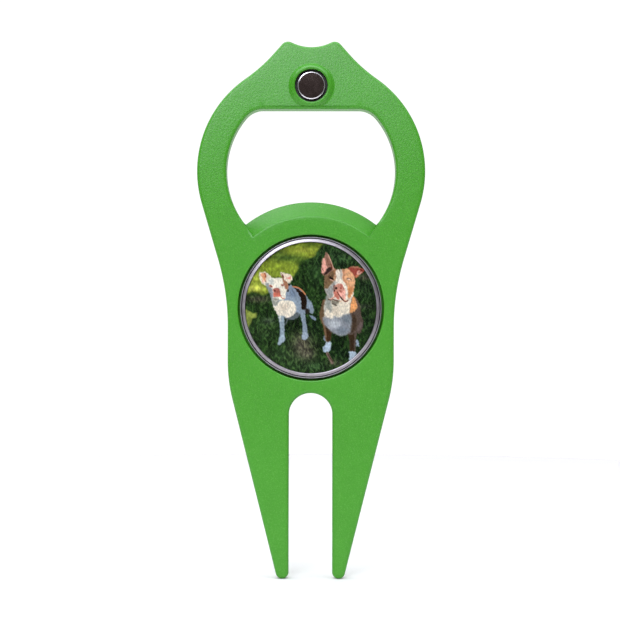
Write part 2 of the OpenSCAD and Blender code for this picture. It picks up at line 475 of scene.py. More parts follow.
def filleted(corners, steps=4):
    """A profile whose corners are rounded. Each corner is (radius, height) or (radius, height, fillet)."""
    out = []
    for i, corner in enumerate(corners):
        fillet = corner[2] if len(corner) > 2 else 0
        here = np.array(corner[:2], float)
        if fillet <= 0 or i in (0, len(corners) - 1):
            out.append(tuple(here))
            continue
        to_last = np.array(corners[i - 1][:2], float) - here
        to_next = np.array(corners[i + 1][:2], float) - here
        to_last /= np.linalg.norm(to_last)
        to_next /= np.linalg.norm(to_next)
        half = math.acos(max(-1, min(1, float(to_last @ to_next)))) / 2
        reach = fillet / math.tan(half)
        start, end = here + to_last * reach, here + to_next * reach
        bisector = (to_last + to_next) / np.linalg.norm(to_last + to_next)
        centre = here + bisector * fillet / math.sin(half)
        a0 = math.atan2(*(start - centre)[::-1])
        a1 = math.atan2(*(end - centre)[::-1])
        turn = (a1 - a0 + math.pi) % (2 * math.pi) - math.pi
        for k in range(steps + 1):
            a = a0 + turn * k / steps
            out.append((centre[0] + fillet * math.cos(a), centre[1] + fillet * math.sin(a)))
    return out


# ---------------------------------------------------------------- the body
def make_body():
    """The one-piece body, its fronts, backs and walls joined by rounded edges."""
    parts = MeshParts()
    outer_p, outer_n = closed_outline(body_rounds(), OUTER_STEP)
    window_p, window_n = closed_outline(window_rounds(), WINDOW_STEP)

    # A window point belongs to the lip where its outward normal points at the marker.
    towards = np.array([0, MARKER_Z]) - window_p
    towards /= np.linalg.norm(towards, axis=1)[:, None]
    near_lip = np.hypot(window_p[:, 0], window_p[:, 1] - MARKER_Z) < LIP_R + LIP_CORNER_R
    on_lip = near_lip & ((towards * window_n).sum(axis=1) > LIP_FACING)
    apart = np.linalg.norm(window_p[:, None] - window_p[on_lip][None], axis=2).min(axis=1)
    off_lip = np.clip(apart / LIP_BLEND, 0, 1)
    front_edge = LIP_EDGE_R + (WINDOW_EDGE_R - LIP_EDGE_R) * off_lip
    back_edge = LIP_BACK_EDGE_R + (BACK_EDGE_R - LIP_BACK_EDGE_R) * off_lip

    def front(points, depth):
        return surface_height(points) - depth

    def window_front(points, depth):
        return np.where(on_lip, lip_height(points), surface_height(points)) - depth

    def back(points, depth):
        return back_height(points[:, 1]) + depth

    outer_front = rounded_edge(parts, outer_p, outer_n, np.full(len(outer_p), EDGE_R), front, 1)
    outer_back = rounded_edge(parts, outer_p, outer_n, np.full(len(outer_p), BACK_EDGE_R), back, 1)
    parts.bridge(outer_front[0], outer_back[0])
    win_front = rounded_edge(parts, window_p, window_n, front_edge, window_front, -1)
    win_back = rounded_edge(parts, window_p, window_n, back_edge, back, -1)
    parts.bridge(win_front[0], win_back[0])

    pocket_loop = make_pocket(parts)
    bore_loop = make_cap_bore(parts)
    fill_front(parts, outer_front[-1], win_front[-1], on_lip, pocket_loop, bore_loop)
    fill_back(parts, outer_back[-1], win_back[-1])
    return parts.mesh("divot_tool_body")


def round_mouth(parts, z, radius, edge, top, n):
    """A bore's rounded mouth. Gives the rings where it meets the wall and the face."""
    def flat(points, depth):
        return top - depth

    circle, normals = circle_points(z, radius, n), circle_points(0, 1, n)
    rings = rounded_edge(parts, circle, normals, np.full(n, edge), flat, -1, MOUTH_STEPS)
    return rings[0], rings[-1]


def make_pocket(parts):
    """The marker's pocket with its softened rim, its floor and the bore of the magnet under it."""
    ring, rim = round_mouth(parts, MARKER_Z, POCKET_R, POCKET_EDGE_R, FACE_H, POCKET_POINTS)
    bore_floor = MARKER_MAGNET["h"][0] - BORE_SPARE
    steps = [
        (POCKET_R, POCKET_FLOOR_H + POCKET_FOOT),
        (POCKET_R - POCKET_FOOT, POCKET_FLOOR_H),
        ((POCKET_R + MARKER_BORE_R) / 2, POCKET_FLOOR_H),
        (MARKER_BORE_R + BORE_CHAMFER, POCKET_FLOOR_H),
        (MARKER_BORE_R, POCKET_FLOOR_H - BORE_CHAMFER),
        (MARKER_BORE_R, bore_floor),
    ]
    for radius, height in steps:
        lower = parts.add(circle_points(MARKER_Z, radius, POCKET_POINTS), height)
        parts.bridge(ring, lower)
        ring = lower
    parts.cap(ring, MARKER_Z, bore_floor)
    return rim


def make_cap_bore(parts):
    """The bore of the cap magnet, its mouth rounded over the collar's crest."""
    wall, rim = round_mouth(parts, CAP_Z, CAP_BORE_R, CAP_BORE_EDGE_R, CREST_H, CAP_BORE_POINTS)
    floor_h = CAP_GLUE["h"][0]
    low = parts.add(circle_points(CAP_Z, CAP_BORE_R, CAP_BORE_POINTS), floor_h)
    parts.bridge(wall, low)
    parts.cap(low, CAP_Z, floor_h)
    return rim


def add_lip_row(parts, radius, reach):
    """A row of points across the lip, from angle reach to -reach about the marker's centre."""
    a = np.linspace(reach, -reach, LIP_POINTS)
    row = np.stack([radius * np.sin(a), MARKER_Z + radius * np.cos(a)], axis=1)
    return parts.add(row, lip_height(row))


def add_lip(parts, window, on_lip, corner_a):
    """The lip's crease, an arc about the marker that steep side walls join to the window's corners, and the
    rows beside it. Gives the chains and the loose points."""
    crease = add_lip_row(parts, BEVEL_R, BEVEL_A)
    first, last = np.flatnonzero(on_lip)[[0, -1]]
    chains = [crease]
    for place, end in ((first, 0), (first - 1, 0), (last, -1), (last + 1, -1)):
        chains.append([window[place % len(window)], crease[end]])
    loose = []
    for share in BEVEL_ROWS:
        reach = BEVEL_A + (corner_a - BEVEL_A) * share - BEVEL_SIDE_GAP
        loose += add_lip_row(parts, BEVEL_R + share * (LIP_R - BEVEL_R), reach)
    for before in CREASE_ROWS:
        chains.append(add_lip_row(parts, BEVEL_R - before, BEVEL_A))
    return chains, loose


def fill_front(parts, outer, window, on_lip, pocket, bore):
    """The front surface between the rounded edges, with the lip's bevel and the collar."""
    outer_shape, window_shape, pocket_shape = parts.plan(outer), parts.plan(window), parts.plan(pocket)
    lip_shape = window_shape[on_lip]
    corner = lip_shape[lip_shape[:, 0].argmax()]
    corner_a = math.atan2(corner[0], corner[1] - MARKER_Z)
    chains, lip_ids = add_lip(parts, window, on_lip, corner_a)

    # The collar: rings of points, close together on its slope.
    inner, outer_reach = 0.36, 0.4
    radii = np.arange(CAP_BORE_R + inner, COLLAR_R + outer_reach, COLLAR_STEP)
    collar = np.concatenate([circle_points(CAP_Z, r, COLLAR_POINTS) for r in radii])
    collar = collar[inside(collar, outer_shape) & ~inside(collar, window_shape)]
    collar = collar[far_from(collar, window_shape, COLLAR_CLEAR)]
    collar_ids = parts.add(collar, surface_height(collar))

    # The rest: a grid that stays clear of the lip, the collar and the edges.
    grid = grid_points((-GRID_X, 0), (GRID_X, TOOL_H), FRONT_STEP)
    keep = inside(grid, outer_shape) & ~inside(grid, window_shape) & ~inside(grid, pocket_shape)
    radius = np.hypot(grid[:, 0], grid[:, 1] - MARKER_Z)
    angle = np.abs(np.arctan2(grid[:, 0], grid[:, 1] - MARKER_Z))
    before_lip, past_lip, beside_lip, round_collar = 0.5, 1.0, 0.03, 0.8
    near_bevel = (radius > BEVEL_R - before_lip) & (radius < LIP_R + past_lip)
    keep &= ~(near_bevel & (angle < corner_a + beside_lip))
    keep &= np.hypot(grid[:, 0], grid[:, 1] - CAP_Z) > COLLAR_R + round_collar
    grid = grid[keep]
    grid = grid[far_from(grid, np.concatenate([outer_shape, window_shape, pocket_shape]), EDGE_CLEAR)]
    grid_ids = parts.add(grid, surface_height(grid))
    parts.fill([outer, window, pocket, bore], chains, lip_ids + collar_ids + grid_ids, [window, pocket, bore])


def fill_back(parts, outer, window):
    outer_shape, window_shape = parts.plan(outer), parts.plan(window)
    grid = grid_points((-GRID_X, 0), (GRID_X, TOOL_H), BACK_STEP)
    grid = grid[inside(grid, outer_shape) & ~inside(grid, window_shape)]
    grid = grid[far_from(grid, np.concatenate([outer_shape, window_shape]), BACK_EDGE_CLEAR)]
    grid_ids = parts.add(grid, back_height(grid[:, 1]))
    parts.fill([outer, window], [], grid_ids, [window])


# ---------------------------------------------------------------- materials
def connect(tree, node, inputs):
    """Sets a node's inputs to values, or links them to other nodes' outputs."""
    for name, value in inputs.items():
        if isinstance(value, bpy.types.NodeSocket):
            tree.links.new(value, node.inputs[name])
        else:
            node.inputs[name].default_value = value


def add_node(tree, kind, inputs=None, **settings):
    """A new shader node."""
    node = tree.nodes.new("ShaderNode" + kind)
    for name, value in settings.items():
        setattr(node, name, value)
    connect(tree, node, inputs or {})
    return node


def new_material(name):
    """A material, its node tree and its shader."""
    material = bpy.data.materials.new(name)
    material.use_nodes = True
    tree = material.node_tree
    return material, tree, tree.nodes["Principled BSDF"]


def noise(tree, scale, detail=2.0, roughness=0.5):
    """Noise in object space, with scale in cycles per metre."""
    place = add_node(tree, "TexCoord").outputs["Object"]
    return add_node(tree, "TexNoise", {
        "Vector": place, "Scale": scale, "Detail": detail, "Roughness": roughness}).outputs["Fac"]


def ramp(tree, source, stops):
    """A colour ramp over a 0 to 1 value. stops are (place, colour)."""
    node = add_node(tree, "ValToRGB", {"Fac": source})
    points = node.color_ramp.elements
    while len(points) < len(stops):
        points.new(0.5)
    for point, (place, colour) in zip(points, stops):
        point.position = place
        point.color = (*colour, 1)
    return node.outputs["Color"]


def multiply(tree, first, second):
    """The product of two colours."""
    return add_node(tree, "Mix", {"Factor": 1.0, "A": first, "B": second},
                    data_type="RGBA", blend_type="MULTIPLY").outputs["Result"]


def bump(tree, height, strength, distance, below=None):
    """Fine relief, over other relief if that is given."""
    inputs = {"Height": height, "Strength": strength, "Distance": distance}
    if below:
        inputs["Normal"] = below
    return add_node(tree, "Bump", inputs).outputs["Normal"]


def powder_coat():
    """Green fine-textured powder coat."""
    material, tree, shader = new_material("green powder coat")
    grain = noise(tree, 3000, 3.0, 0.6)
    fine = noise(tree, 6500)
    mottle = add_node(tree, "Mix", {"Factor": 0.35, "A": grain, "B": noise(tree, 160)})
    colour = ramp(tree, mottle.outputs["Result"], [
        (0.32, (0.045, 0.266, 0.009)), (0.52, (0.050, 0.287, 0.011)), (0.72, (0.057, 0.309, 0.014))])
    specks = ramp(tree, fine, [
        (0.36, (0.87, 0.94, 0.62)), (0.48, (1, 1, 1)), (0.57, (1, 1, 1)), (0.67, (1.8, 1.17, 3.0))])
    coarse = bump(tree, grain, strength=0.34, distance=0.00012)
    connect(tree, shader, {
        "Base Color": multiply(tree, colour, specks),
        "Roughness": 0.36,
        "Specular IOR Level": 0.46,
        "Normal": bump(tree, fine, strength=0.2, distance=0.00002, below=coarse)})
    return material


def turned_metal(name, z, radius, rings, roughness):
    """Plated metal about an axis along Y at height z. rings are (distance in from the edge in mm, colour)."""
    material, tree, shader = new_material(name)
    place = add_node(tree, "TexCoord").outputs["Object"]
    across, to_axis = (1, 0, 1), (0, 0, -z * MM)
    flat = add_node(tree, "VectorMath", {0: place, 1: across, 2: to_axis}, operation="MULTIPLY_ADD")
    reach = add_node(tree, "VectorMath", {0: flat.outputs["Vector"]}, operation="LENGTH")
    share = add_node(tree, "Math", {0: reach.outputs["Value"], 1: radius * MM}, operation="DIVIDE")
    stops = [((radius - depth) / radius, colour) for depth, colour in rings]
    tint = ramp(tree, share.outputs["Value"], stops)
    clouds = noise(tree, 900, 4.0, 0.6)
    stain = ramp(tree, clouds, [(0.35, (0.8, 0.78, 0.77)), (0.65, (1, 1, 1))])
    wear = add_node(tree, "MapRange", {
        "Value": clouds, "To Min": roughness * 0.8, "To Max": roughness * 1.25})
    connect(tree, shader, {
        "Base Color": multiply(tree, tint, stain),
        "Metallic": 1.0,
        "Roughness": wear.outputs["Result"]})
    return material


SILVER = (0.44, 0.425, 0.46)
# Painted highlight: near white for the magnets' chamfers, in place of the light they reflect.
PAINTED_HIGHLIGHT = (0.90, 0.88, 0.92)
# Painted shade: near black for the coin's groove, where shade falls.
GROOVE_SHADE = (0.015, 0.012, 0.012)
BROWN_LINE = (0.17, 0.135, 0.13)
# Painted dark reflection: dark brown for the cap magnet's face and side, in place of the dim room they
# mirror.
PAINTED_DARK_REFLECTION = (0.085, 0.062, 0.056)
# The marker magnet's face: plain nickel, darker than its chamfer's painted highlight.
NICKEL_FACE = (0.62, 0.60, 0.62)
# The coin's rings of colour; the near-black pair lies in its groove as painted shade.
COIN_RINGS = [
    (0.90, BROWN_LINE), (0.85, SILVER), (0.72, SILVER), (0.67, BROWN_LINE), (0.62, SILVER), (0.54, SILVER),
    (0.49, BROWN_LINE), (0.44, SILVER), (0.38, SILVER), (0.33, GROOVE_SHADE), (0.17, GROOVE_SHADE), (0.14, SILVER)]
# The cap magnet: painted dark reflection on its face and side, and a painted highlight ring on its chamfer.
CAP_RINGS = [(0.24, PAINTED_DARK_REFLECTION), (0.21, PAINTED_HIGHLIGHT), (0.07, PAINTED_HIGHLIGHT), (0.05, PAINTED_DARK_REFLECTION)]
# The marker magnet: a painted highlight ring on its chamfer.
UNDER_RINGS = [(0.28, NICKEL_FACE), (0.24, PAINTED_HIGHLIGHT)]


def glue(name, colour):
    """Glue or adhesive with soft lumps."""
    material, tree, shader = new_material(name)
    lumps = noise(tree, 1500)
    darker = tuple(c * 0.7 for c in colour)
    connect(tree, shader, {
        "Base Color": ramp(tree, lumps, [(0.3, darker), (0.7, colour)]),
        "Roughness": 0.35,
        "Normal": bump(tree, lumps, strength=0.3, distance=0.00005)})
    return material


def clear_cover_material():
    """Clear cover: light passes straight through and a faint gloss lies over it."""
    material, tree, shader = new_material("clear epoxy")
    tree.nodes.remove(shader)
    through = add_node(tree, "BsdfTransparent", {"Color": (0.985, 0.99, 0.985, 1)})
    gloss = add_node(tree, "BsdfGlossy", {"Roughness": 0.06})
    fresnel = add_node(tree, "Fresnel", {"IOR": 1.3})
    faint = add_node(tree, "Math", {0: fresnel.outputs["Fac"], 1: 0.4}, operation="MULTIPLY")
    mix = add_node(tree, "MixShader", {
        "Fac": faint.outputs["Value"], 1: through.outputs["BSDF"], 2: gloss.outputs["BSDF"]})
    connect(tree, tree.nodes["Material Output"], {"Surface": mix.outputs["Shader"]})
    return material


def printed_material():
    """The printed picture: its inks are a colour attribute, without any shine of their own."""
    material, tree, shader = new_material("printed picture")
    ink = add_node(tree, "VertexColor", layer_name="ink")
    connect(tree, shader, {"Base Color": ink.outputs["Color"], "Roughness": 0.6, "Specular IOR Level": 0.0})
    return material


def dress(obj, material):
    obj.data.materials.clear()
    obj.data.materials.append(material)
    return obj


# ---------------------------------------------------------------- marker and magnets
def make_marker_coin():
    """The coin: a thin outer ring, a groove coloured near black as painted shade, and a low crown that falls
    outwards from its ridge.
    """
    low, high = COIN["h"]
    rim_in = COIN_R - 0.18
    crown_out = rim_in - 0.14
    groove_h = high - 0.3
    ridge_r = PRINT_R + 0.15
    ridge_h = high - 0.02
    drop = 0.12
    dish_r = PRINT_R + 0.02
    dish_h = low + 0.85

    def fall(share):
        return drop * share ** 1.4

    # The crown is turned in four steps, each with a small lip on its inner side.
    turned = []
    for share in (1.0, 0.75, 0.5, 0.25):
        r = ridge_r + (crown_out - ridge_r) * share
        turned += [(r, ridge_h - fall(share)), (r - 0.07, ridge_h - fall(share - 0.16) - 0.012)]
    profile = filleted([
        (0, low), (COIN_R - 0.2, low, 0.05), (COIN_R, low + 0.2, 0.08),
        (COIN_R, high - 0.08, 0.05), (COIN_R - 0.06, high, 0.03), (rim_in, high, 0.03),
        (rim_in, groove_h), (crown_out, groove_h)] + turned + [
        (ridge_r, ridge_h), (PRINT_R + 0.06, ridge_h - 0.04), (dish_r, ridge_h - drop),
        (dish_r, dish_h), (0, dish_h)])
    return lathe("marker_coin", profile, MARKER_Z, 256, sharp=math.radians(28))


def make_cover():
    """The clear cover: a thin disc with a shallow dome."""
    low, high = COVER["h"][0] + 0.01, COVER["h"][1]
    rise, steps = 0.22, 12
    r = PRINT_R - 0.02
    dome_r = (r * r + rise * rise) / (2 * rise)
    top_a = math.asin(r / dome_r)
    dome = []
    for k in range(steps):
        a = top_a * (1 - k / steps)
        dome.append((dome_r * math.sin(a), high - dome_r + dome_r * math.cos(a)))
    return lathe("marker_clear_cover", [(0, low), (r, low)] + dome + [(0, high)], MARKER_Z)


def make_magnet(name, box, z):
    """A disc magnet with a chamfered front edge."""
    low, high = box["h"]
    r = size(box["x"]) / 2
    chamfer = 0.25
    profile = filleted([
        (0, low), (r, low, 0.06), (r, high - chamfer, 0.05), (r - 0.06, high - 0.06, 0.05),
        (r - chamfer, high, 0.04), (0, high)])
    return lathe(name, profile, z, 128)


# Soft spots of the ground: centre u, v, half sizes, colour and strength. The disc's radius is 1, and the
# colours are 0 to 255 screen values.
GROUND_SPOTS = [
    (0.45, 0.78, 0.38, 0.26, (40, 63, 38), 0.8),
    (0.10, 0.55, 0.16, 0.30, (36, 60, 32), 0.8),
    (0.85, 0.30, 0.22, 0.20, (35, 56, 34), 0.8),
    (0.82, 0.47, 0.14, 0.06, (70, 64, 56), 0.9),
    (0.82, 0.02, 0.20, 0.05, (64, 65, 58), 0.7),
    (0.85, -0.25, 0.14, 0.30, (24, 42, 24), 0.8),
    (-0.80, 0.13, 0.26, 0.07, (66, 62, 52), 0.9),
    (-0.70, -0.03, 0.20, 0.08, (34, 56, 26), 0.7),
    (-0.72, -0.36, 0.30, 0.22, (46, 68, 38), 0.8),
    (-0.64, -0.20, 0.14, 0.06, (66, 72, 66), 0.6),
    (-0.45, -0.74, 0.36, 0.20, (50, 74, 42), 0.9),
    (0.02, -0.90, 0.42, 0.12, (46, 70, 42), 0.9),
    (-0.13, -0.55, 0.22, 0.26, (88, 80, 70), 0.9),
    (-0.05, -0.70, 0.16, 0.12, (92, 82, 74), 0.7),
    (0.38, -0.84, 0.16, 0.08, (66, 60, 54), 0.6),
    (-0.22, -0.24, 0.24, 0.12, (14, 28, 12), 1.0),
    (0.42, -0.53, 0.17, 0.15, (11, 27, 10), 1.0),
    (0.06, -0.28, 0.10, 0.22, (18, 36, 18), 0.8),
    (0.50, -0.70, 0.22, 0.12, (18, 36, 20), 0.8),
]

# Outlines were placed one by one. They are u, v, u, v ... in thousandths of the disc's radius.
SUNLIT = [-1100, 245, -900, 235, -700, 205, -620, 250, -450, 400, -300, 460, -240, 530, -190, 600,
    -170, 670, -50, 740, 60, 790, 100, 880, 170, 1100, -1100, 1100]
SUN_PATCH = [-1050, -20, -940, -50, -880, -90, -840, -80, -840, -150, -900, -170, -930, -250,
    -960, -320, -1050, -300]
SUN_SPOTS = [
    (-0.85, 0.30, 0.20, 0.06, (204, 204, 92), 0.9),
    (-0.85, 0.44, 0.16, 0.10, (168, 178, 68), 0.8),
    (-0.55, 0.60, 0.30, 0.09, (138, 156, 50), 0.9),
    (-0.28, 0.55, 0.10, 0.08, (140, 158, 52), 0.9),
    (-0.12, 0.88, 0.22, 0.06, (150, 156, 60), 0.9),
    (0.00, 0.80, 0.10, 0.05, (136, 146, 48), 0.9),
    (-0.38, 0.76, 0.30, 0.06, (66, 92, 38), 0.95),
    (-0.10, 0.70, 0.16, 0.06, (48, 76, 30), 0.9),
    (-0.55, 0.84, 0.16, 0.06, (70, 96, 44), 0.8),
    (0.02, 0.97, 0.16, 0.05, (88, 108, 34), 0.9),
]

